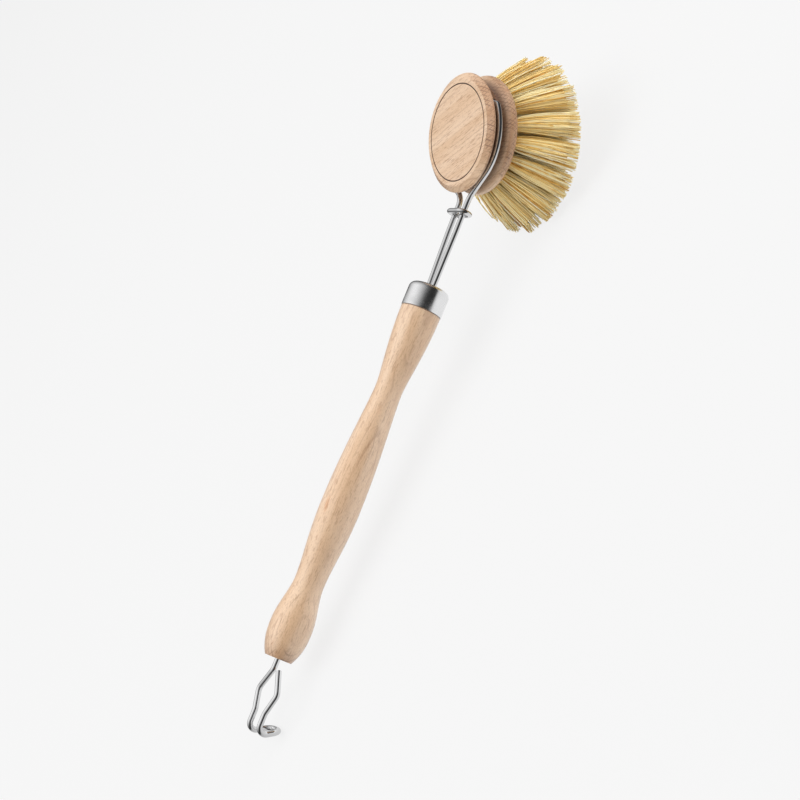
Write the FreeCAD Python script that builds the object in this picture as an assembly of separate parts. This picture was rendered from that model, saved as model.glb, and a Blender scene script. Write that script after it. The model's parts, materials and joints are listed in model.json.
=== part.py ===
import FreeCAD, Part
import math
import os

# A dish brush: a turned wooden handle with a hanging hook, and a round brush head held by a sprung wire yoke.
# Lengths are in millimetres and angles in degrees.
# The pieces are drawn along the handle: X from the tail face to the head, Z to the back of the head.
# At the end the whole brush is laid down on its bristles and its hook.

# Turned handle: each station has its distance from the tail face, its diameter and its ease,
# which is the share of the next span over which the curve still runs along the axis
HANDLE_LENGTH = 154.0
TAIL_DIA = 11.4
TAIL_FLARE = 29.0
TAIL_EASE = 0.35
BULB_AT = 13.9
BULB_DIA = 17.8
BULB_EASE = 0.36
NECK_AT = 32.7
NECK_DIA = 12.6
NECK_EASE = 0.28
BELLY_AT = 66.0
BELLY_DIA = 16.7
BELLY_EASE = 0.45
WAIST_AT = 118.5
WAIST_DIA = 11.6
WAIST_EASE = 0.16
COLLAR_DIA = 17.2
COLLAR_EASE = 0.45

# Drawn metal ferrule over the top of the handle
FERRULE_DIA = 17.6
FERRULE_HEIGHT = 11.0
FERRULE_WALL = 0.6
FERRULE_EDGE_R = 2.6
MOUTH_CLEAR = 0.25

# Yoke wire that holds the head
WIRE_DIA = 2.4
PAIR_SPACING = 3.6
PAIR_FLARE = 2.4
FLARE_LENGTH = 26.0
FLARE_BEND_R = 40.0
YOKE_LEAN = 1.42
SHANK_LENGTH = 41.0
YOKE_DEPTH = 34.0
SPLIT_GAP = 0.3
NECK_BEND_R = 7.0
HEAD_TILT = 21.3
NECK_REACH = 4.2
WRAP_PAST_EQUATOR = 28.0
PIN_BEND_R = 1.8
PIN_LENGTH = 4.6

# Sliding ring that closes the yoke
RING_WIRE_DIA = 2.0
RING_INNER_WIDTH = 9.7
RING_INNER_DEPTH = 3.5
RING_BELOW_BEND = 7.0

# Turned head block: depths run from the groove plane, which holds the yoke wire
HEAD_DIA = 50.0
BACK_HEIGHT = 6.4
BACK_FACE_DIA = 44.8
BACK_BEVEL_DEPTH = 2.0
BACK_THICKNESS = 2.7
BACK_FACE_R = 0.6
BACK_EDGE_R = 0.7
BACK_LIP_R = 0.5
GROOVE_DIA = 42.0
GROOVE_FLOOR = 3.6
GROOVE_ROOT_R = 0.8
SLOPE_DEPTH = 4.4
FRONT_DEPTH = 8.0
FRONT_EDGE_R = 2.4
SHOULDER_R = 2.2
CROWN = 1.3
LINE_DIA = 40.6
LINE_WIDTH = 0.5
LINE_DEPTH = 0.3

# Tufts: evenly spaced rings of holes, with the same splay for each millimetre from the centre
OUTER_TUFTS = 16
MIDDLE_TUFTS = 10
INNER_TUFTS = 5
CENTRE_TUFTS = 1
OUTER_RING_INSET = 6.6
OUTER_SPLAY = 32.0
HOLE_DIA = 4.0
HOLE_DEPTH = 6.0
TUFT_LENGTH = 28.6
TUFT_TIP_DIA = 9.4

# Staples that hold the folded fibres at the bottom of each hole
STAPLE_SPAN = 3.2
STAPLE_WIDTH = 1.2
STAPLE_THICKNESS = 0.5
STAPLE_HEIGHT = 1.0
STAPLE_BITE = 2.0

# Hanging hook bent from one wire
HOOK_WIRE_DIA = 2.4
HOOK_DEPTH = 24.0
HOOK_STEM = 4.6
HOOK_KNEE_AT = 13.6
HOOK_KNEE_WIDTH = 16.2
HOOK_WAIST_AT = 22.0
HOOK_FOOT_AT = 31.6
HOOK_FOOT_WIDTH = 8.7
HOOK_OFFSET = 1.6
HOOK_FOOT_REACH = 10.2
HOOK_FOOT_RISE = 5.2
HOOK_END_AT = 4.4
HOOK_END_SIDE = 3.1
HOOK_BEND_R = 3.0
HOOK_TOE_R = 3.8

# Clearances, and the distance under which two points are one
FIT = 0.05
SEAT_GAP = 0.3
JOIN = 0.0001

Vec = FreeCAD.Vector
Placement = FreeCAD.Placement
Rotation = FreeCAD.Rotation
AXIS_X = Vec(1, 0, 0)
AXIS_Y = Vec(0, 1, 0)
AXIS_Z = Vec(0, 0, 1)

# Sizes that follow from the ones above
WIRE_R = WIRE_DIA / 2
FERRULE_TOP = HANDLE_LENGTH + FERRULE_HEIGHT
SPLIT_AT = FERRULE_TOP - FERRULE_WALL
BEND_AT = SHANK_LENGTH + FERRULE_WALL
SHANK_PLACE = Placement(Vec(SPLIT_AT, 0, 0), Rotation(AXIS_Y, -YOKE_LEAN))
LOOP_R = GROOVE_DIA / 2 + SEAT_GAP + WIRE_R
HEAD_TURN = Rotation(AXIS_Y, -HEAD_TILT)
HEAD_REACH = HEAD_TURN.multVec(Vec(LOOP_R + NECK_REACH, 0, 0))
HEAD_PLACE = Placement(SHANK_PLACE.multVec(Vec(BEND_AT, 0, 0)) + HEAD_REACH, HEAD_TURN)


def rounded_wire(corners, radii):
    """Open wire through the corners, with a tangent arc of the given radius at each inner corner."""
    edges = []
    start = corners[0]
    for before, corner, after, radius in zip(corners, corners[1:], corners[2:], radii):
        back = (before - corner).normalize()
        ahead = (after - corner).normalize()
        half = back.getAngle(ahead) / 2
        if radius > 0:
            arc_in = corner + back * (radius / math.tan(half))
            arc_out = corner + ahead * (radius / math.tan(half))
            middle = corner + (back + ahead).normalize() * (radius / math.sin(half) - radius)
            if not start.isEqual(arc_in, JOIN):
                edges.append(Part.LineSegment(start, arc_in).toShape())
            edges.append(Part.Arc(arc_in, middle, arc_out).toShape())
            start = arc_out
        else:
            edges.append(Part.LineSegment(start, corner).toShape())
            start = corner
    edges.append(Part.LineSegment(start, corners[-1]).toShape())
    return Part.Wire(edges)


def bent_wire(corners, bends, dia):
    """Round wire along straight runs and tangent bends."""
    path = rounded_wire(corners, bends)
    circle = Part.Circle(corners[0], corners[1] - corners[0], dia / 2)
    return path.makePipeShell([Part.Wire([circle.toShape()])], True, False)


def turned(outline, axis):
    """Solid of revolution of a closed outline."""
    return Part.Face(outline).revolve(Vec(0, 0, 0), axis, 360)


def cylinder(radius, length, start, direction):
    return Part.makeCylinder(radius, length, start, direction)


def placed(shape, placement):
    copy = shape.copy()
    copy.Placement = placement.multiply(copy.Placement)
    return copy


def slot_bar(spacing, width, start, length):
    """Bar along X with a slot-shaped section across Y."""
    half = spacing / 2
    radius = width / 2
    top = [Vec(start, half, radius), Vec(start, half + radius, 0), Vec(start, half, -radius)]
    low = [Vec(start, -half, -radius), Vec(start, -half - radius, 0), Vec(start, -half, radius)]
    edges = [
        Part.Arc(*top).toShape(),
        Part.LineSegment(top[2], low[0]).toShape(),
        Part.Arc(*low).toShape(),
        Part.LineSegment(low[2], top[0]).toShape(),
    ]
    return Part.Face(Part.Wire(edges)).extrude(Vec(length, 0, 0))


# Handle and ferrule

TENON_R = FERRULE_DIA / 2 - FERRULE_WALL - FIT
TENON_TOP = FERRULE_TOP - FERRULE_WALL - FIT
TENON_EDGE_R = FERRULE_EDGE_R - FERRULE_WALL
BORE_R = PAIR_SPACING / 2 + WIRE_R + FIT


def handle_curve():
    """Turned outline: one cubic curve for each span between two stations."""
    stations = (
        (0, TAIL_DIA, TAIL_EASE, math.tan(math.radians(TAIL_FLARE))),
        (BULB_AT, BULB_DIA, BULB_EASE, 0),
        (NECK_AT, NECK_DIA, NECK_EASE, 0),
        (BELLY_AT, BELLY_DIA, BELLY_EASE, 0),
        (WAIST_AT, WAIST_DIA, WAIST_EASE, 0),
        (HANDLE_LENGTH, COLLAR_DIA, COLLAR_EASE, 0),
    )
    edges = []
    for (at, dia, ease, slope), (next_at, next_dia, next_ease, next_slope) in zip(stations, stations[1:]):
        reach = ease * (next_at - at)
        next_reach = next_ease * (next_at - at)
        span = Part.BezierCurve()
        span.setPoles([
            Vec(at, dia / 2, 0),
            Vec(at + reach, dia / 2 + reach * slope, 0),
            Vec(next_at - next_reach, next_dia / 2 - next_reach * next_slope, 0),
            Vec(next_at, next_dia / 2, 0),
        ])
        edges.append(span.toShape())
    return edges


def make_handle():
    tenon = rounded_wire(
        [
            Vec(HANDLE_LENGTH, COLLAR_DIA / 2, 0),
            Vec(HANDLE_LENGTH, TENON_R, 0),
            Vec(TENON_TOP, TENON_R, 0),
            Vec(TENON_TOP, 0, 0),
            Vec(0, 0, 0),
            Vec(0, TAIL_DIA / 2, 0),
        ],
        [0, TENON_EDGE_R, 0, 0],
    )
    wood = turned(Part.Wire(handle_curve() + tenon.Edges), AXIS_X)
    yoke_bore = cylinder(BORE_R, YOKE_DEPTH, Vec(TENON_TOP - YOKE_DEPTH, 0, 0), AXIS_X)
    hook_bore = cylinder(HOOK_WIRE_DIA / 2 + FIT, HOOK_DEPTH + FIT, Vec(0, 0, 0), AXIS_X)
    return wood.cut([yoke_bore, hook_bore])


def make_ferrule():
    outer = FERRULE_DIA / 2
    inner = outer - FERRULE_WALL
    roof = FERRULE_TOP - FERRULE_WALL
    corners = [
        Vec(FERRULE_TOP, 0, 0),
        Vec(FERRULE_TOP, outer, 0),
        Vec(HANDLE_LENGTH, outer, 0),
        Vec(HANDLE_LENGTH, inner, 0),
        Vec(roof, inner, 0),
        Vec(roof, 0, 0),
    ]
    cap = rounded_wire(corners, [FERRULE_EDGE_R, 0, 0, TENON_EDGE_R])
    axis = Part.LineSegment(corners[-1], corners[0]).toShape()
    shell = turned(Part.Wire(cap.Edges + [axis]), AXIS_X)
    mouth = slot_bar(PAIR_SPACING, WIRE_DIA + 2 * MOUTH_CLEAR, HANDLE_LENGTH, FERRULE_HEIGHT)
    return shell.cut(mouth)


# Yoke: a hairpin in the handle and two arms that spring apart

def make_yoke_root():
    half = PAIR_SPACING / 2
    turn_at = TENON_TOP - YOKE_DEPTH + WIRE_R + FIT
    top = SPLIT_AT - SPLIT_GAP
    spring = turn_at + half
    legs = [
        Part.LineSegment(Vec(top, half, 0), Vec(spring, half, 0)).toShape(),
        Part.Arc(Vec(spring, half, 0), Vec(turn_at, 0, 0), Vec(spring, -half, 0)).toShape(),
        Part.LineSegment(Vec(spring, -half, 0), Vec(top, -half, 0)).toShape(),
    ]
    section = Part.Circle(Vec(top, half, 0), AXIS_X, WIRE_R).toShape()
    return Part.Wire(legs).makePipeShell([Part.Wire([section])], True, False)


def arm_corners(side):
    """Corners of one arm: hinge, end of the flare, neck bend, groove, tip and the end of its pin."""
    spread = PAIR_SPACING / 2 + FLARE_LENGTH * math.tan(math.radians(PAIR_FLARE))
    hinge = SHANK_PLACE.multVec(Vec(0, side * PAIR_SPACING / 2, 0))
    flare = SHANK_PLACE.multVec(Vec(FLARE_LENGTH, side * spread, 0))
    neck = SHANK_PLACE.multVec(Vec(BEND_AT, side * spread, 0))
    flat_neck = HEAD_PLACE.inverse().multVec(neck)
    flat_hinge = HEAD_PLACE.inverse().multVec(hinge)
    neck_angle = math.atan2(side * flat_neck.y, flat_neck.x)
    lead = math.acos(LOOP_R / math.hypot(flat_neck.x, flat_neck.y))
    enter = neck_angle - lead
    leave = math.pi / 2 - math.radians(WRAP_PAST_EQUATOR)
    middle = (enter + leave) / 2
    corner_r = LOOP_R / math.cos((enter - leave) / 2)
    groove = Vec(corner_r * math.cos(middle), side * corner_r * math.sin(middle), 0)
    tangent = Vec(math.sin(leave), -side * math.cos(leave), 0)
    touch = Vec(LOOP_R * math.cos(leave), side * LOOP_R * math.sin(leave), 0)
    swing = Vec(touch.x - flat_hinge.x, touch.y - flat_hinge.y, 0).normalize()
    pin = Vec(side * swing.y, -side * swing.x, 0)
    turn = tangent.getAngle(pin)
    tip = touch + tangent * (PIN_BEND_R * math.tan(turn / 2))
    end = tip + pin * PIN_LENGTH
    flat = [HEAD_PLACE.multVec(point) for point in (groove, tip, end)]
    return [hinge, flare, neck] + flat


def make_arm(side):
    return bent_wire(arm_corners(side), [FLARE_BEND_R, NECK_BEND_R, LOOP_R, PIN_BEND_R], WIRE_DIA)


def make_slider_ring():
    """Oval ring of wire, square to the leaning shank."""
    at = BEND_AT - RING_BELOW_BEND
    bend = (RING_INNER_DEPTH + RING_WIRE_DIA) / 2
    half = (RING_INNER_WIDTH - RING_INNER_DEPTH) / 2
    near = [Vec(at, -half, -bend), Vec(at, -half - bend, 0), Vec(at, -half, bend)]
    far = [Vec(at, half, bend), Vec(at, half + bend, 0), Vec(at, half, -bend)]
    edges = [
        Part.LineSegment(far[2], near[0]).toShape(),
        Part.Arc(*near).toShape(),
        Part.LineSegment(near[2], far[0]).toShape(),
        Part.Arc(*far).toShape(),
    ]
    section = Part.Circle(far[2], AXIS_Y, RING_WIRE_DIA / 2).toShape()
    ring = Part.Wire(edges).makePipeShell([Part.Wire([section])], True, False)
    return placed(ring, SHANK_PLACE)


# Hanging hook

def hook_corners():
    """Corners from the stem in the handle, down one leg, round the toe and up the other leg."""
    knee = HOOK_KNEE_WIDTH / 2
    foot = HOOK_FOOT_WIDTH / 2
    toe_at = -HOOK_FOOT_AT + HOOK_FOOT_RISE
    toe_low = -HOOK_OFFSET - HOOK_FOOT_REACH
    return [
        Vec(HOOK_DEPTH, 0, 0),
        Vec(-HOOK_STEM, 0, 0),
        Vec(-HOOK_KNEE_AT, knee, -HOOK_OFFSET),
        Vec(-HOOK_WAIST_AT, foot, -HOOK_OFFSET),
        Vec(-HOOK_FOOT_AT, foot, -HOOK_OFFSET),
        Vec(toe_at, foot, toe_low),
        Vec(toe_at, -foot, toe_low),
        Vec(-HOOK_FOOT_AT, -foot, -HOOK_OFFSET),
        Vec(-HOOK_WAIST_AT, -foot, -HOOK_OFFSET),
        Vec(-HOOK_KNEE_AT, -knee, -HOOK_OFFSET),
        Vec(-HOOK_END_AT, -HOOK_END_SIDE, -HOOK_OFFSET / 2),
    ]


def make_hook():
    leg = [HOOK_BEND_R] * 3
    bends = [HOOK_BEND_R] + leg + [HOOK_TOE_R] * 2 + leg
    return bent_wire(hook_corners(), bends, HOOK_WIRE_DIA)


# Brush head

def face_height(radius):
    """Height of the crowned front face at a distance from the head's axis."""
    return -FRONT_DEPTH - CROWN * (1 - radius / (HEAD_DIA / 2))


def tuft_places():
    """Place of each tuft: its origin on the front face, with Z along the tuft."""
    outer = HEAD_DIA / 2 - OUTER_RING_INSET
    counts = (OUTER_TUFTS, MIDDLE_TUFTS, INNER_TUFTS, CENTRE_TUFTS)
    places = []
    for ring, count in enumerate(counts):
        share = 1 - ring / (len(counts) - 1)
        radius = outer * share
        splay = OUTER_SPLAY * share
        for step in range(count):
            azimuth = 360 * (step + 0.5) / count
            spin = Rotation(AXIS_Z, azimuth)
            root = spin.multVec(Vec(radius, 0, face_height(radius)))
            places.append((Placement(root, spin.multiply(Rotation(AXIS_Y, 180 - splay))), splay))
    return places


def make_tuft(splay):
    """Fibre bundle: a round root that fills its hole, then a flare to the trimmed end."""
    root = HOLE_DIA / 2 - FIT
    rim = HOLE_DIA / 2 * math.tan(math.radians(splay))
    outline = Part.makePolygon([
        Vec(0, 0, FIT - HOLE_DEPTH),
        Vec(root, 0, FIT - HOLE_DEPTH),
        Vec(root, 0, rim),
        Vec(TUFT_TIP_DIA / 2, 0, TUFT_LENGTH),
        Vec(0, 0, TUFT_LENGTH),
        Vec(0, 0, FIT - HOLE_DEPTH),
    ])
    return turned(outline, AXIS_Z).cut(make_staple(FIT))


def make_staple(grow):
    """Flat wire staple across the bottom of a hole, thicker all round by grow."""
    half = STAPLE_SPAN / 2 + grow
    inner = STAPLE_SPAN / 2 - STAPLE_THICKNESS - grow
    top = -HOLE_DEPTH + STAPLE_HEIGHT + STAPLE_THICKNESS / 2 + grow
    crotch = -HOLE_DEPTH + STAPLE_HEIGHT - STAPLE_THICKNESS / 2 - grow
    low = -HOLE_DEPTH - STAPLE_BITE - grow
    across = -STAPLE_WIDTH / 2 - grow
    outline = Part.makePolygon([
        Vec(across, -half, low),
        Vec(across, -half, top),
        Vec(across, half, top),
        Vec(across, half, low),
        Vec(across, inner, low),
        Vec(across, inner, crotch),
        Vec(across, -inner, crotch),
        Vec(across, -inner, low),
        Vec(across, -half, low),
    ])
    return Part.Face(outline).extrude(Vec(-2 * across, 0, 0))


def make_head_block(places):
    rim = HEAD_DIA / 2
    floor = GROOVE_DIA / 2
    line = LINE_DIA / 2
    top = BACK_HEIGHT
    corners = [
        Vec(0, 0, top),
        Vec(line - LINE_WIDTH / 2, 0, top),
        Vec(line, 0, top - LINE_DEPTH),
        Vec(line + LINE_WIDTH / 2, 0, top),
        Vec(BACK_FACE_DIA / 2, 0, top),
        Vec(rim, 0, top - BACK_BEVEL_DEPTH),
        Vec(rim, 0, top - BACK_THICKNESS),
        Vec(floor, 0, GROOVE_FLOOR / 2),
        Vec(floor, 0, -GROOVE_FLOOR / 2),
        Vec(rim, 0, -SLOPE_DEPTH),
        Vec(rim, 0, face_height(rim)),
        Vec(0, 0, face_height(0)),
    ]
    groove = [BACK_LIP_R, GROOVE_ROOT_R, GROOVE_ROOT_R, SHOULDER_R]
    profile = rounded_wire(corners, [0, 0, 0, BACK_FACE_R, BACK_EDGE_R] + groove + [FRONT_EDGE_R])
    axis = Part.LineSegment(corners[-1], corners[0]).toShape()
    block = turned(Part.Wire(profile.Edges + [axis]), AXIS_Z)
    drill = cylinder(HOLE_DIA / 2, HOLE_DEPTH + HOLE_DIA, Vec(0, 0, -HOLE_DEPTH), AXIS_Z)
    staple = make_staple(0)
    tools = [placed(drill, place) for place, splay in places]
    tools += [placed(staple, place) for place, splay in places]
    for side in (1, -1):
        tip, end = [HEAD_PLACE.inverse().multVec(point) for point in arm_corners(side)[-2:]]
        tools.append(cylinder(WIRE_R + SEAT_GAP, PIN_LENGTH + SEAT_GAP, tip, end - tip))
    return block.cut(tools)


# The brush laid down on a flat top

def low_end(centre, direction, radius):
    """Height of the lowest point of a round end."""
    return centre.z - radius * math.sqrt(1 - direction.z ** 2)


def resting_turn(tuft_spots):
    """Turn that brings the lowest tuft and the toe of the hook to one level."""
    toe = hook_corners()[5]
    toe.y = 0
    angle = 0
    for step in range(12):
        turn = Rotation(AXIS_Y, angle)
        ends = [(turn.multVec(tip), turn.multVec(along)) for tip, along in tuft_spots]
        tuft_low = min(low_end(tip, along, TUFT_TIP_DIA / 2) for tip, along in ends)
        hook_low = low_end(turn.multVec(toe), AXIS_Y, HOOK_WIRE_DIA / 2)
        angle += math.degrees((tuft_low - hook_low) / (FERRULE_TOP + SHANK_LENGTH))
    return turn, tuft_low


def main():
    places = tuft_places()
    pieces = {
        "handle": make_handle(),
        "ferrule": make_ferrule(),
        "yoke_root": make_yoke_root(),
        "left_arm": make_arm(1),
        "right_arm": make_arm(-1),
        "slider_ring": make_slider_ring(),
        "hook": make_hook(),
        "head_block": placed(make_head_block(places), HEAD_PLACE),
    }
    staple = make_staple(0)
    staples = [placed(staple, HEAD_PLACE.multiply(place)) for place, splay in places]
    pieces["tuft_staples"] = Part.makeCompound(staples)
    spots = []
    for number, (place, splay) in enumerate(places, 1):
        where = HEAD_PLACE.multiply(place)
        pieces[f"tuft_{number:02d}"] = placed(make_tuft(splay), where)
        spots.append((where.multVec(Vec(0, 0, TUFT_LENGTH)), where.Rotation.multVec(AXIS_Z)))

    turn, low = resting_turn(spots)
    lying = Placement(Vec(0, 0, 0), turn)
    box = Part.makeCompound([placed(shape, lying) for shape in pieces.values()]).optimalBoundingBox(False)
    row = Placement(Vec(-box.Center.x, 0, -low), turn)
    os.makedirs("parts", exist_ok=True)
    for name, shape in pieces.items():
        placed(shape, row).exportStep(f"parts/{name}.step")
        print(name, "solids", len(shape.Solids), "valid", shape.isValid(), "volume", round(shape.Volume, 1))
    print("row placement", row)
    return pieces, row


main()
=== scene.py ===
import json
import math
import random

import bpy
from mathutils import Color, Matrix, Quaternion, Vector


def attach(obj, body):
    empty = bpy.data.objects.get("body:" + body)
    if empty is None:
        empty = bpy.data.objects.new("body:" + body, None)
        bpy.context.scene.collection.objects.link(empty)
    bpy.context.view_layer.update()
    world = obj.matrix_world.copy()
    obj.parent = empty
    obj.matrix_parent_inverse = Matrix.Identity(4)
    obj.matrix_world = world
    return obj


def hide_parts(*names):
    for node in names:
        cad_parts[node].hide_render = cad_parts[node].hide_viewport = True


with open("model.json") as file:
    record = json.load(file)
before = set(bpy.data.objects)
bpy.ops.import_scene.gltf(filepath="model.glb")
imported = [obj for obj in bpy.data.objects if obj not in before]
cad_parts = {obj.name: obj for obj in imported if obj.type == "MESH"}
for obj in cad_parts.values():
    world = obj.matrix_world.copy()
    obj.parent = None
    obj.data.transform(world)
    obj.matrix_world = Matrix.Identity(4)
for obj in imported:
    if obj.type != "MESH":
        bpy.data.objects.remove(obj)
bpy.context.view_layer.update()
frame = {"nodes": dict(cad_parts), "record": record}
nodes = frame["nodes"]
mounts = {mount["name"]: mount for mount in frame["record"]["mounts"]}

# Handle: the line that it is turned about, in metres
HANDLE_RISE = math.radians(4.618)
HANDLE_AXIS = Vector((math.cos(HANDLE_RISE), 0, math.sin(HANDLE_RISE)))
HANDLE_TAIL = Vector((-0.122608, 0, 0.015087))

# Brush head: the back face's centre, its axes and the rings of tufts
BACK_CENTRE = Vector(mounts["head_back"]["pos_m"])
BACK_NORMAL = Vector(mounts["head_back"]["axis"]).normalized()
FORWARD = Vector((0, 1, 0)).cross(BACK_NORMAL).normalized()
LATERAL = BACK_NORMAL.cross(FORWARD)
FRONT_DEPTH = 0.0144
CROWN = 0.0013
HEAD_R = 0.025
LINE_R = 0.0203
LINE_HALF = 0.00028
LINE_FADE = (0.6, 1.3)
LINE_LIMIT = 0.001
# Painted shade in the groove: the radius where it starts to fade, the width of the fade and the heights
# between which it lies
GROOVE_SHADE_R = 0.0212
GROOVE_SHADE_FADE = 0.0028
GROOVE_SHADE_TOP = -0.003
GROOVE_SHADE_LOW = -0.0112
OUTER_RING_R = 0.0184
OUTER_SPLAY = 32.0
TUFT_COUNTS = (16, 10, 5, 1)
HOLE_R = 0.002
HOLE_FILL = 0.92
ROOT_R = HOLE_R * HOLE_FILL
TIP_R = 0.0056
FLARE_POWER = 0.66
TUFT_LENGTH = 0.0286

# Fibres of a tuft, which lean back towards the handle at their ends
FIBRES = 130
FIBRE_R = 0.0003
FIBRE_SIZES = (0.75, 1.25)
FIBRE_TAPER = 0.25
FIBRE_STEPS = 5
FIBRE_SIDES = 4
FIBRE_BOW = 0.0006
INNER_SHARE = 0.3
STRAY = (0.88, 1.12)
TRIM_LOSS = 0.1
BROKEN_SHARE = 0.04
BROKEN_LENGTHS = (0.55, 0.9)
ROOT_DEPTH = 0.0015
LEAN_BACK = 0.0014

# Packed core of a tuft: its sides, its share of the tuft's radius and the levels where it is drawn
CORE_SIDES = 14
CORE_SHARE = 0.8
CORE_LEVELS = (0.0, 0.3, 0.6, 0.84)

# Shades of the fibres, from 0 for brown to 1 for the palest straw; cores and roots are darkened as painted
# shade
SHADE_SPREAD = (2.2, 1.6)
CORE_PAINTED_SHADE = 0.72
ROOT_PAINTED_SHADE = 0.78

# Camera, paper and light
CAMERA_AT = Vector((-0.14585, -0.64074, 0.37511))
CAMERA_TARGET = Vector((-0.00882, -0.01455, 0.02582))
CAMERA_ROLL = -57.633
CAMERA_LENS = 81.193
SENSOR = 36.0
PAPER = (0.88, 0.88, 0.88, 1)
PAPER_GLOW = (0.9, 0.9, 0.9, 1)
GLOW_SHARE = 0.9
# Painted reflection of the paper in the metal: where its glow starts and stops fading, the share left far
# away, and the stretch of that pool
GLOW_POOL_NEAR = 0.06
GLOW_POOL_FAR = 0.22
GLOW_POOL_FAR_SHARE = 0.04
GLOW_POOL_STRETCH = (0.8, 1.2, 1)
FLOOR_SIZE = 16.0
SKY_TOP = Vector((0, 0.4, 0.92))
SKY_LEVELS = ((0.0, 0.03), (0.2, 0.05), (0.42, 0.18), (0.62, 0.44), (0.82, 0.7), (1.0, 1.0))
KEY_AT = Vector((-0.4, 0.1, 1.3))
KEY_SIZE = 1.2
KEY_POWER = 14.2
FILL_AT = Vector((0.2, -1.3, 0.6))
FILL_SIZE = 1.2
FILL_POWER = 2.0
FRONT_AT = Vector((1.25, -0.35, 0.6))
FRONT_SIZE = 0.9
FRONT_POWER = 13.0

# Colour sockets of the mix node, and the brightest screen value
MIX_FIRST = 6
MIX_SECOND = 7
MIX_RESULT = 2
SCREEN_WHITE = 255

# Kinds of noise: detail and roughness
PLAIN = (1, 0.5)
CLOUDY = (3, 0.6)
GRITTY = (2, 0.6)


class Nodes:
    """Short way to add nodes and links to one node tree."""

    def __init__(self, tree):
        self.tree = tree

    def add(self, kind, **settings):
        node = self.tree.nodes.new(kind)
        for name, value in settings.items():
            setattr(node, name, value)
        return node

    def link(self, source, target):
        self.tree.links.new(source, target)

    def put(self, socket, value):
        if isinstance(value, bpy.types.NodeSocket):
            self.link(value, socket)
        else:
            socket.default_value = value

    def math(self, operation, first, second=0.0, clamp=False):
        node = self.add("ShaderNodeMath", operation=operation, use_clamp=clamp)
        self.put(node.inputs[0], first)
        self.put(node.inputs[1], second)
        return node.outputs[0]

    def vector(self, operation, first, second=(0, 0, 0)):
        node = self.add("ShaderNodeVectorMath", operation=operation)
        self.put(node.inputs[0], first)
        self.put(node.inputs[1], second)
        return node

    def span(self, value, low, high, out_low=0.0, out_high=1.0):
        node = self.add("ShaderNodeMapRange", interpolation_type="SMOOTHSTEP")
        self.put(node.inputs["Value"], value)
        node.inputs["From Min"].default_value = low
        node.inputs["From Max"].default_value = high
        node.inputs["To Min"].default_value = out_low
        node.inputs["To Max"].default_value = out_high
        return node.outputs[0]

    def noise(self, vector, scale, detail=2.0, roughness=0.5):
        node = self.add("ShaderNodeTexNoise")
        self.link(vector, node.inputs["Vector"])
        node.inputs["Scale"].default_value = scale
        node.inputs["Detail"].default_value = detail
        node.inputs["Roughness"].default_value = roughness
        return node.outputs["Fac"]

    def mix(self, factor, first, second, blend="MIX"):
        node = self.add("ShaderNodeMix", data_type="RGBA", blend_type=blend)
        self.put(node.inputs["Factor"], factor)
        self.put(node.inputs[MIX_FIRST], first)
        self.put(node.inputs[MIX_SECOND], second)
        return node.outputs[MIX_RESULT]

    def ramp(self, value, stops):
        node = self.add("ShaderNodeValToRGB")
        self.link(value, node.inputs[0])
        elements = node.color_ramp.elements
        while len(elements) < len(stops):
            elements.new(0.5)
        for element, (position, colour) in zip(elements, stops):
            element.position = position
            element.color = colour
        return node.outputs["Color"]


def rgb(red, green, blue):
    """Colour given in screen values from 0 to 255, as linear light."""
    screen = Color((red / SCREEN_WHITE, green / SCREEN_WHITE, blue / SCREEN_WHITE))
    return (*screen.from_srgb_to_scene_linear(), 1.0)


def new_material(name):
    """New material, with its nodes and its shader."""
    material = bpy.data.materials.new(name)
    material.use_nodes = True
    tree = Nodes(material.node_tree)
    return material, tree, material.node_tree.nodes["Principled BSDF"]


def dress(node, material):
    """Give a carried-over node its material."""
    slots = nodes[node].data.materials
    slots.clear()
    slots.append(material)


# Wood: its colours and tints
LIGHT_WOOD = rgb(226, 196, 166)
DARK_WOOD = rgb(213, 177, 141)
RING_LINE = rgb(150, 104, 72)
FLECK = rgb(146, 96, 56)
AMBER = rgb(203, 138, 84)
END_TINT = (0.72, 0.62, 0.55, 1)
# Dark line: a burnt line round the back of the head, and painted shade at the edge of the ferrule
BURNT_LINE_AND_EDGE_SHADE = rgb(84, 58, 42)
# Painted shade in the groove of the head
GROOVE_PAINTED_SHADE = (0.42, 0.35, 0.31, 1)
NET_TINT = (0.45, 0.37, 0.33, 1)

# Painted shade in a thin dark line at the edge of the ferrule: half its width, the solid share of that and
# its strength
EDGE_SHADE_HALF = 0.0005
EDGE_SHADE_SOLID = 0.4
EDGE_SHADE_SHARE = 0.8

# Lines in the wood: the middle of the tree and the steps of the rings and rays in metres,
# how the lines wander, and the part of a step over which a line rises and falls
PITH = (0, -0.045, 0.004)
RING_SPACING = 0.0014
RAY_SPACING = 0.0011
RING_WANDER = 0.0016
WANDER_STRETCH = 0.1
WANDER_SCALE = 90
STEP_RISE = (0.66, 0.9)
STEP_FALL = (0.9, 1.0)

# Patterns in the wood: how far each is drawn out, its scale, the range where it shows and its strength
BAND_STRETCH = 0.1
BAND_SCALE = 110
BAND_RANGE = (0.34, 0.68)
STAIN_STRETCH = 0.3
STAIN_SCALE = 170
STAIN_RANGE = (0.7, 0.8)
STAIN_STRENGTH = 0.55
BREAK_STRETCH = 0.15
BREAK_SCALE = 260
BREAK_RANGE = (0.38, 0.66)
BREAK_STRENGTHS = (0.04, 0.42)
FLECK_STRETCH = (0.08, 0.25)
FLECK_SCALE = 2900
FLECK_RANGE = (0.57, 0.67)
FLECK_STRENGTH = 0.5
FLECK_POLISHED_OFF = 0.14
PORE_STRETCH = 0.35
PORE_SCALE = 2800
PORE_RANGE = (0.45, 0.75)
PORE_STRENGTH = 0.26
END_RANGE = (0.2, 0.6)
PATCH_SCALE = 300
PATCH_RANGE = (0.36, 0.6)
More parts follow.
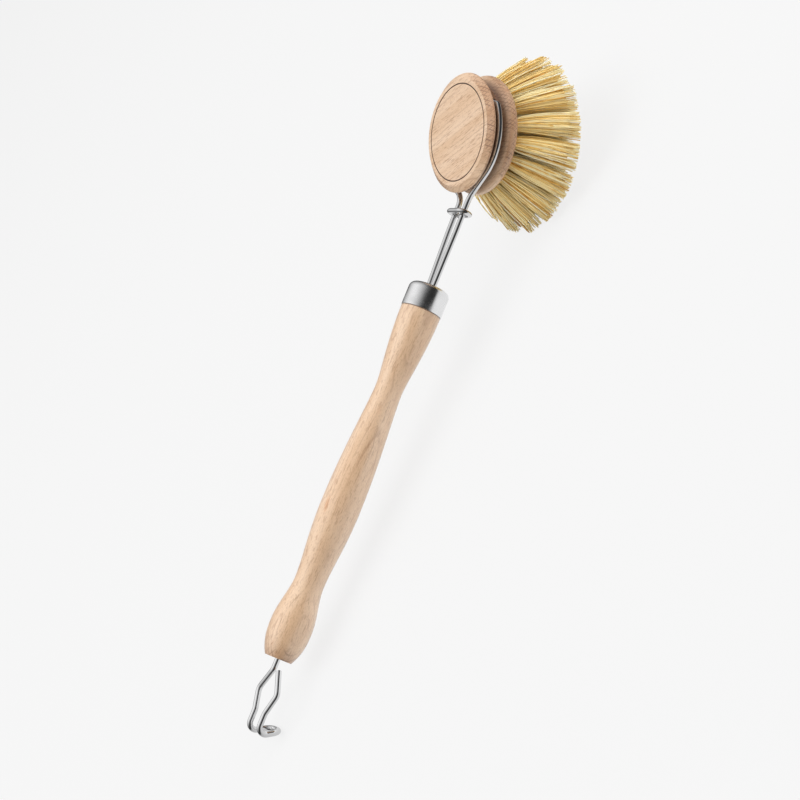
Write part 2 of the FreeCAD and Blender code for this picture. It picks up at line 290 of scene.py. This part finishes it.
WOOD_BUMP = 0.12
WOOD_BUMP_HEIGHT = 0.0002

# Finish of the wood, with the gloss of a fully polished piece
WOOD_ROUGHNESS = (0.46, 0.36)
ROUGHNESS_RANGE = (0.2, 0.8)
WOOD_SPECULAR = 0.95
WOOD_COAT = 0.3
WOOD_SHEEN = 0.6
GLOSS_ROUGHNESS = 0.4
HANDLE_POLISH = 1.0
HEAD_POLISH = 0.3
HEAD_GRAIN = (-0.93, 0.37)


def grain_space(tree, grain, radial, origin):
    """Place in the wood in metres: X along the grain, Y across the growth rings and Z along them."""
    place = tree.add("ShaderNodeTexCoord").outputs["Object"]
    moved = tree.vector("SUBTRACT", place, origin).outputs[0]
    joined = tree.add("ShaderNodeCombineXYZ")
    for socket, axis in zip(joined.inputs, (grain, radial, grain.cross(radial))):
        tree.link(tree.vector("DOT_PRODUCT", moved, axis).outputs["Value"], socket)
    return joined.outputs[0]


def stretched(tree, space, along, across=1.0):
    """Pattern drawn out along the grain and across the rings."""
    return tree.vector("MULTIPLY", space, (along, across, 1)).outputs[0]


def thin_lines(tree, space, position, spacing):
    """Lines at equal steps of a position, which wander a little."""
    drift = tree.noise(stretched(tree, space, WANDER_STRETCH), WANDER_SCALE)
    wander = tree.math("MULTIPLY", drift, RING_WANDER)
    step = tree.math("FRACT", tree.math("DIVIDE", tree.math("ADD", position, wander), spacing))
    return tree.math("MULTIPLY", tree.span(step, *STEP_RISE), tree.span(step, *STEP_FALL, 1.0, 0.0))


def growth_rings(tree, space):
    """Growth rings, as round layers about the middle of the tree."""
    section = tree.vector("MULTIPLY", space, (0, 1, 1)).outputs[0]
    distance = tree.vector("DISTANCE", section, PITH).outputs["Value"]
    return thin_lines(tree, space, distance, RING_SPACING)


def rays(tree, space):
    """Rays, which run out from the middle of the tree and cross the rings."""
    side = tree.vector("DOT_PRODUCT", space, (0, 0, 1)).outputs["Value"]
    return thin_lines(tree, space, side, RAY_SPACING)


def wood_bands(tree, space):
    """Broad lighter and darker bands."""
    return tree.noise(stretched(tree, space, BAND_STRETCH), BAND_SCALE, *CLOUDY)


def broken_rings(tree, space, rings):
    """Share of the ring lines that shows, since they fade in and out along the grain."""
    breaks = tree.noise(stretched(tree, space, BREAK_STRETCH), BREAK_SCALE)
    return tree.math("MULTIPLY", rings, tree.span(breaks, *BREAK_RANGE, *BREAK_STRENGTHS))


def wood_net(tree, space, rings, on_end):
    """Patchy net of rings and rays on the end grain."""
    net = tree.math("MAXIMUM", rings, rays(tree, space))
    patches = tree.span(tree.noise(space, PATCH_SCALE), *PATCH_RANGE)
    return tree.math("MULTIPLY", net, tree.math("MULTIPLY", patches, on_end))


def finish_wood(tree, shader, bands, relief, polish):
    """Gloss of the wood, and the faint relief of its flecks and pores."""
    bump = tree.add("ShaderNodeBump", invert=True)
    bump.inputs["Strength"].default_value = WOOD_BUMP
    bump.inputs["Distance"].default_value = WOOD_BUMP_HEIGHT
    tree.link(relief, bump.inputs["Height"])
    tree.link(bump.outputs[0], shader.inputs["Normal"])
    tree.link(tree.span(bands, *ROUGHNESS_RANGE, *WOOD_ROUGHNESS), shader.inputs["Roughness"])
    shader.inputs["Specular IOR Level"].default_value = WOOD_SPECULAR
    shader.inputs["Coat Weight"].default_value = WOOD_COAT * polish
    shader.inputs["Coat Roughness"].default_value = GLOSS_ROUGHNESS
    shader.inputs["Sheen Weight"].default_value = WOOD_SHEEN * polish
    shader.inputs["Sheen Roughness"].default_value = GLOSS_ROUGHNESS


def beech(name, grain, radial, origin, polish):
    """Bare beech: bands, stains, growth rings, ray flecks, fine pores and a darker end grain."""
    material, tree, shader = new_material(name)
    space = grain_space(tree, grain, radial, origin)
    bands = wood_bands(tree, space)
    colour = tree.mix(tree.span(bands, *BAND_RANGE), DARK_WOOD, LIGHT_WOOD)
    stain = tree.noise(stretched(tree, space, STAIN_STRETCH), STAIN_SCALE, *PLAIN)
    colour = tree.mix(tree.span(stain, *STAIN_RANGE, 0.0, STAIN_STRENGTH), colour, AMBER)
    rings = growth_rings(tree, space)
    colour = tree.mix(broken_rings(tree, space, rings), colour, RING_LINE)
    flecks = tree.noise(stretched(tree, space, *FLECK_STRETCH), FLECK_SCALE, *PLAIN)
    marks = tree.span(flecks, *FLECK_RANGE, 0.0, FLECK_STRENGTH - FLECK_POLISHED_OFF * polish)
    colour = tree.mix(marks, colour, FLECK)
    pores = tree.noise(stretched(tree, space, PORE_STRETCH), PORE_SCALE, *PLAIN)
    colour = tree.mix(tree.span(pores, *PORE_RANGE, 0.0, PORE_STRENGTH), colour, FLECK)
    normal = tree.add("ShaderNodeNewGeometry").outputs["Normal"]
    facing = tree.math("ABSOLUTE", tree.vector("DOT_PRODUCT", normal, grain).outputs["Value"])
    on_end = tree.span(facing, *END_RANGE)
    colour = tree.mix(on_end, colour, END_TINT, "MULTIPLY")
    colour = tree.mix(wood_net(tree, space, rings, on_end), colour, NET_TINT, "MULTIPLY")
    finish_wood(tree, shader, bands, tree.math("ADD", marks, pores), polish)
    return material, tree, shader, colour


def ferrule_edge():
    """How far up the handle the ferrule starts."""
    ferrule = nodes["ferrule"]
    corners = [ferrule.matrix_world @ vertex.co for vertex in ferrule.data.vertices]
    return min((corner - HANDLE_TAIL).dot(HANDLE_AXIS) for corner in corners)


def handle_wood():
    """Handle: grain along it, with a thin line of painted shade at the edge of the ferrule."""
    radial = -LATERAL
    material, tree, shader, colour = beech("beech_handle", HANDLE_AXIS, radial, HANDLE_TAIL, HANDLE_POLISH)
    place = tree.add("ShaderNodeTexCoord").outputs["Object"]
    offset = tree.vector("SUBTRACT", place, HANDLE_TAIL).outputs[0]
    height = tree.vector("DOT_PRODUCT", offset, HANDLE_AXIS).outputs["Value"]
    # Painted shade in a thin line at the edge of the ferrule
    away = tree.math("ABSOLUTE", tree.math("SUBTRACT", height, ferrule_edge()))
    solid = EDGE_SHADE_HALF * EDGE_SHADE_SOLID
    edge_shade_mask = tree.span(away, solid, EDGE_SHADE_HALF, EDGE_SHADE_SHARE, 0.0)
    colour = tree.mix(edge_shade_mask, colour, BURNT_LINE_AND_EDGE_SHADE)
    tree.link(colour, shader.inputs["Base Color"])
    return material


def head_wood():
    """Head: grain across the disc, a thin dark line round its back and painted shade in the groove."""
    grain = (LATERAL * HEAD_GRAIN[0] + FORWARD * HEAD_GRAIN[1]).normalized()
    radial = (grain.cross(BACK_NORMAL) + BACK_NORMAL).normalized()
    material, tree, shader, colour = beech("beech_head", grain, radial, BACK_CENTRE, HEAD_POLISH)
    place = tree.add("ShaderNodeTexCoord").outputs["Object"]
    offset = tree.vector("SUBTRACT", place, BACK_CENTRE).outputs[0]
    height = tree.vector("DOT_PRODUCT", offset, BACK_NORMAL).outputs["Value"]
    across = tree.vector("CROSS_PRODUCT", offset, BACK_NORMAL).outputs[0]
    radius = tree.vector("LENGTH", across).outputs["Value"]
    away = tree.math("ABSOLUTE", tree.math("SUBTRACT", radius, LINE_R))
    on_line = tree.span(away, LINE_HALF * LINE_FADE[0], LINE_HALF * LINE_FADE[1], 1.0, 0.0)
    on_back = tree.math("GREATER_THAN", height, -LINE_LIMIT)
    colour = tree.mix(tree.math("MULTIPLY", on_line, on_back), colour, BURNT_LINE_AND_EDGE_SHADE)
    # Painted shade in the groove, fading out further from the middle
    above_front = tree.math("GREATER_THAN", height, GROOVE_SHADE_LOW)
    inside = tree.span(radius, GROOVE_SHADE_R, GROOVE_SHADE_R + GROOVE_SHADE_FADE, 1.0, 0.0)
    groove_shade_mask = tree.math("MULTIPLY", inside, above_front)
    below_back = tree.math("LESS_THAN", height, GROOVE_SHADE_TOP)
    colour = tree.mix(tree.math("MULTIPLY", groove_shade_mask, below_back), colour, GROOVE_PAINTED_SHADE, "MULTIPLY")
    tree.link(colour, shader.inputs["Base Color"])
    return material


# Metal: tone and roughness of each piece, then its uneven polish and its drawing marks
HOOK_METAL = (0.87, 0.03)
FERRULE_METAL = (0.84, 0.26)
RING_METAL = (0.72, 0.08)
WIRE_METAL = (0.7, 0.04)
STAPLE_METAL = (0.6, 0.35)
METAL_BLUE = 1.005
CLOUD_SCALE = 180
CLOUD_RANGE = (0.3, 0.7)
CLOUD_SHARES = (0.7, 1.4)
MARK_STRETCH = (0.08, 1, 1)
MARK_SCALE = 5200
METAL_BUMP = 0.03
METAL_BUMP_HEIGHT = 0.0001


def polished_metal(name, tone, roughness):
    """Bright metal with faint drawing marks and a slightly uneven polish."""
    material, tree, shader = new_material(name)
    place = tree.add("ShaderNodeTexCoord").outputs["Object"]
    cloud = tree.noise(place, CLOUD_SCALE, *CLOUDY)
    shader.inputs["Base Color"].default_value = (tone, tone, tone * METAL_BLUE, 1)
    shader.inputs["Metallic"].default_value = 1.0
    smooth, dull = (roughness * share for share in CLOUD_SHARES)
    tree.link(tree.span(cloud, *CLOUD_RANGE, smooth, dull), shader.inputs["Roughness"])
    drawn_out = tree.vector("MULTIPLY", place, MARK_STRETCH).outputs[0]
    marks = tree.noise(drawn_out, MARK_SCALE, *GRITTY)
    bump = tree.add("ShaderNodeBump")
    bump.inputs["Strength"].default_value = METAL_BUMP
    bump.inputs["Distance"].default_value = METAL_BUMP_HEIGHT
    tree.link(marks, bump.inputs["Height"])
    tree.link(bump.outputs[0], shader.inputs["Normal"])
    return material


# Fibres: colour of each shade, blotches along them and their gloss
FIBRE_COLOURS = (
    (0.0, rgb(180, 118, 44)),
    (0.14, rgb(228, 180, 88)),
    (0.42, rgb(249, 220, 147)),
    (0.75, rgb(253, 239, 190)),
    (1.0, rgb(255, 249, 222)),
)
BLOTCH_SCALE = 420
BLOTCH_MIDDLE = 0.5
BLOTCH_STRENGTH = 0.35
FIBRE_ROUGHNESS = 0.42
FIBRE_SPECULAR = 0.35


def fibre_material():
    """Dry plant fibre: pale straw, with golden and brown strands among it."""
    material, tree, shader = new_material("plant_fibre")
    shade = tree.add("ShaderNodeAttribute", attribute_name="shade").outputs["Fac"]
    place = tree.add("ShaderNodeTexCoord").outputs["Object"]
    blotch = tree.noise(place, BLOTCH_SCALE)
    change = tree.math("MULTIPLY", tree.math("SUBTRACT", blotch, BLOTCH_MIDDLE), BLOTCH_STRENGTH)
    mixed = tree.math("ADD", shade, change, clamp=True)
    tree.link(tree.ramp(mixed, FIBRE_COLOURS), shader.inputs["Base Color"])
    shader.inputs["Roughness"].default_value = FIBRE_ROUGHNESS
    shader.inputs["Specular IOR Level"].default_value = FIBRE_SPECULAR
    return material


def turned(first, second, angle):
    """Direction at an angle from the first axis towards the second."""
    return first * math.cos(angle) + second * math.sin(angle)


def bundle_r(reach):
    """Radius of a tuft from its hole to its trimmed end."""
    return ROOT_R + (TIP_R - ROOT_R) * reach ** FLARE_POWER


def bundle_point(root, along, distance, reach):
    """Point on the line of a tuft, which bends back towards its end."""
    return root + along * distance - FORWARD * (LEAN_BACK * reach ** 2)


def fibre_path(rng, root, along, across, up):
    """Points of one fibre from inside its hole to its trimmed end."""
    turn = rng.uniform(0, 2 * math.pi)
    share = math.sqrt(rng.uniform(INNER_SHARE, 1)) * rng.uniform(*STRAY)
    radial = turned(across, up, turn)
    length = TUFT_LENGTH * (1 - TRIM_LOSS * rng.random() ** 2)
    if rng.random() < BROKEN_SHARE:
        length *= rng.uniform(*BROKEN_LENGTHS)
    bow_turn = rng.uniform(0, 2 * math.pi)
    bow = turned(across, up, bow_turn) * rng.gauss(0, FIBRE_BOW)
    points = []
    for step in range(FIBRE_STEPS + 1):
        reach = step / FIBRE_STEPS
        distance = -ROOT_DEPTH + reach * (length + ROOT_DEPTH)
        centre = bundle_point(root, along, distance, reach)
        point = centre + radial * (share * bundle_r(reach)) + bow * math.sin(math.pi * reach)
        point.z = max(point.z, FIBRE_R)
        points.append(point)
    return points


def add_ring(vertices, centre, first, second, radius, sides):
    """Corners of one ring round a centre."""
    for side in range(sides):
        angle = 2 * math.pi * side / sides
        vertices.append(centre + turned(first, second, angle) * radius)


def add_skin(faces, base, levels, sides):
    """Faces between rings of corners, closed at both ends."""
    for level in range(levels - 1):
        low = base + level * sides
        for side in range(sides):
            after = (side + 1) % sides
            faces.append((low + side, low + after, low + sides + after, low + sides + side))
    last = base + (levels - 1) * sides
    faces.append(tuple(reversed(range(base, base + sides))))
    faces.append(tuple(range(last, last + sides)))


def add_core(rng, root, along, across, up, vertices, faces):
    """Packed inner fibres of a tuft, with one shade for each side, darkened as painted shade."""
    base = len(vertices)
    for reach in CORE_LEVELS:
        centre = bundle_point(root, along, reach * TUFT_LENGTH, reach)
        add_ring(vertices, centre, across, up, CORE_SHARE * bundle_r(reach), CORE_SIDES)
    add_skin(faces, base, len(CORE_LEVELS), CORE_SIDES)
    shades = [CORE_PAINTED_SHADE * rng.betavariate(*SHADE_SPREAD) for side in range(CORE_SIDES)]
    return shades * len(CORE_LEVELS)


def add_tube(points, radius, vertices, faces):
    """Thin closed tube along the points, which tapers a little."""
    along = (points[-1] - points[0]).normalized()
    side = along.orthogonal().normalized()
    other = along.cross(side)
    base = len(vertices)
    for step, point in enumerate(points):
        size = radius * (1 - FIBRE_TAPER * step / (len(points) - 1))
        add_ring(vertices, point, side, other, size, FIBRE_SIDES)
    add_skin(faces, base, len(points), FIBRE_SIDES)


def tuft_places():
    """Root point and direction of each tuft on the crowned front face."""
    for ring, count in enumerate(TUFT_COUNTS):
        share = 1 - ring / (len(TUFT_COUNTS) - 1)
        radius = OUTER_RING_R * share
        splay = math.radians(OUTER_SPLAY) * share
        for step in range(count):
            azimuth = 2 * math.pi * (step + 0.5) / count
            outward = turned(FORWARD, LATERAL, azimuth)
            depth = FRONT_DEPTH + CROWN * (1 - radius / HEAD_R)
            root = BACK_CENTRE + outward * radius - BACK_NORMAL * depth
            along = outward * math.sin(splay) - BACK_NORMAL * math.cos(splay)
            yield root, along


def make_tuft(number, root, along, material):
    """One tuft of loose fibres in its hole."""
    rng = random.Random(number)
    across = along.orthogonal().normalized()
    up = along.cross(across)
    vertices = []
    faces = []
    shades = add_core(rng, root, along, across, up, vertices, faces)
    for strand in range(FIBRES):
        points = fibre_path(rng, root, along, across, up)
        add_tube(points, FIBRE_R * rng.uniform(*FIBRE_SIZES), vertices, faces)
        shade = rng.betavariate(*SHADE_SPREAD)
        for step in range(len(points)):
            # Painted shade: each fibre darker towards its root
            shades += [shade * (ROOT_PAINTED_SHADE + (1 - ROOT_PAINTED_SHADE) * step / FIBRE_STEPS)] * FIBRE_SIDES
    mesh = bpy.data.meshes.new(f"fibres_{number:02d}")
    mesh.from_pydata(vertices, [], faces)
    mesh.shade_smooth()
    mesh.attributes.new("shade", "FLOAT", "POINT").data.foreach_set("value", shades)
    mesh.materials.append(material)
    tuft = bpy.data.objects.new(mesh.name, mesh)
    bpy.context.scene.collection.objects.link(tuft)
    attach(tuft, "brush")
    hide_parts(f"tuft_{number:02d}")


# Stage

def paper_material():
    """Pale paper that keeps the shadow; in the metal it shows as a painted reflection, a glow round the
    brush that fades further away.
    """
    material = bpy.data.materials.new("paper")
    material.use_nodes = True
    material.node_tree.nodes.clear()
    tree = Nodes(material.node_tree)
    matt = tree.add("ShaderNodeBsdfDiffuse")
    matt.inputs["Color"].default_value = PAPER
    glow = tree.add("ShaderNodeEmission")
    glow.inputs["Color"].default_value = PAPER_GLOW
    path = tree.add("ShaderNodeLightPath")
    seen = path.outputs["Is Camera Ray"]
    mirrored = tree.math("MAXIMUM", path.outputs["Is Glossy Ray"], path.outputs["Is Transmission Ray"])
    # Painted reflection: for the metal the paper glows near the brush and fades further out
    place = tree.add("ShaderNodeTexCoord").outputs["Object"]
    shaped = tree.vector("MULTIPLY", place, GLOW_POOL_STRETCH).outputs[0]
    away = tree.vector("LENGTH", shaped).outputs["Value"]
    reflected_glow = tree.span(away, GLOW_POOL_NEAR, GLOW_POOL_FAR, 1.0, GLOW_POOL_FAR_SHARE)
    tree.link(tree.math("ADD", seen, tree.math("MULTIPLY", mirrored, reflected_glow)), glow.inputs["Strength"])
    blend = tree.add("ShaderNodeMixShader")
    tree.link(tree.math("ADD", tree.math("MULTIPLY", seen, GLOW_SHARE), mirrored), blend.inputs[0])
    tree.link(matt.outputs[0], blend.inputs[1])
    tree.link(glow.outputs[0], blend.inputs[2])
    output = tree.add("ShaderNodeOutputMaterial")
    tree.link(blend.outputs[0], output.inputs["Surface"])
    return material


def make_floor():
    """Flat sheet of paper under the brush."""
    mesh = bpy.data.meshes.new("floor")
    half = FLOOR_SIZE / 2
    corners = [(-half, -half, 0), (half, -half, 0), (half, half, 0), (-half, half, 0)]
    mesh.from_pydata(corners, [], [(0, 1, 2, 3)])
    mesh.materials.append(paper_material())
    floor = bpy.data.objects.new("floor", mesh)
    bpy.context.scene.collection.objects.link(floor)


def make_world():
    """Soft light overhead that falls away to a dark room at the sides, behind a pale backdrop."""
    world = bpy.data.worlds.new("studio")
    bpy.context.scene.world = world
    world.use_nodes = True
    tree = Nodes(world.node_tree)
    direction = tree.add("ShaderNodeTexCoord").outputs["Generated"]
    facing = tree.vector("DOT_PRODUCT", direction, SKY_TOP.normalized()).outputs["Value"]
    stops = [(position, (level, level, level, 1)) for position, level in SKY_LEVELS]
    colour = tree.ramp(facing, stops)
    seen = tree.add("ShaderNodeLightPath").outputs["Is Camera Ray"]
    tree.link(tree.mix(seen, colour, PAPER_GLOW), world.node_tree.nodes["Background"].inputs["Color"])


def make_lamp(name, place, size, power):
    """Soft square lamp that points at the brush and leaves no image of itself in the metal."""
    light = bpy.data.lights.new(name, "AREA")
    light.size = size
    light.energy = power
    lamp = bpy.data.objects.new(name, light)
    lamp.location = place
    lamp.rotation_euler = (-place).to_track_quat("-Z", "Y").to_euler()
    lamp.visible_glossy = False
    bpy.context.scene.collection.objects.link(lamp)


def make_camera():
    """Camera that looks at the brush, rolled about its line of sight."""
    data = bpy.data.cameras.new("camera")
    data.sensor_width = SENSOR
    data.lens = CAMERA_LENS
    camera = bpy.data.objects.new("camera", data)
    level = (CAMERA_TARGET - CAMERA_AT).to_track_quat("-Z", "Y")
    roll = Quaternion((0, 0, 1), math.radians(CAMERA_ROLL))
    camera.matrix_world = Matrix.Translation(CAMERA_AT) @ (level @ roll).to_matrix().to_4x4()
    bpy.context.scene.collection.objects.link(camera)
    bpy.context.scene.camera = camera


wire = polished_metal("yoke_wire_metal", *WIRE_METAL)
dress("handle", handle_wood())
dress("head_block", head_wood())
dress("ferrule", polished_metal("ferrule_metal", *FERRULE_METAL))
dress("hook", polished_metal("hook_wire_metal", *HOOK_METAL))
dress("slider_ring", polished_metal("ring_metal", *RING_METAL))
dress("tuft_staples", polished_metal("staple_metal", *STAPLE_METAL))
for node in ("yoke_root", "left_arm", "right_arm"):
    dress(node, wire)
fibre = fibre_material()
for number, (root, along) in enumerate(tuft_places(), 1):
    make_tuft(number, root, along, fibre)
make_floor()
make_world()
make_lamp("key", KEY_AT, KEY_SIZE, KEY_POWER)
make_lamp("fill", FILL_AT, FILL_SIZE, FILL_POWER)
make_lamp("front", FRONT_AT, FRONT_SIZE, FRONT_POWER)
make_camera()
bpy.context.scene.view_settings.view_transform = "Standard"
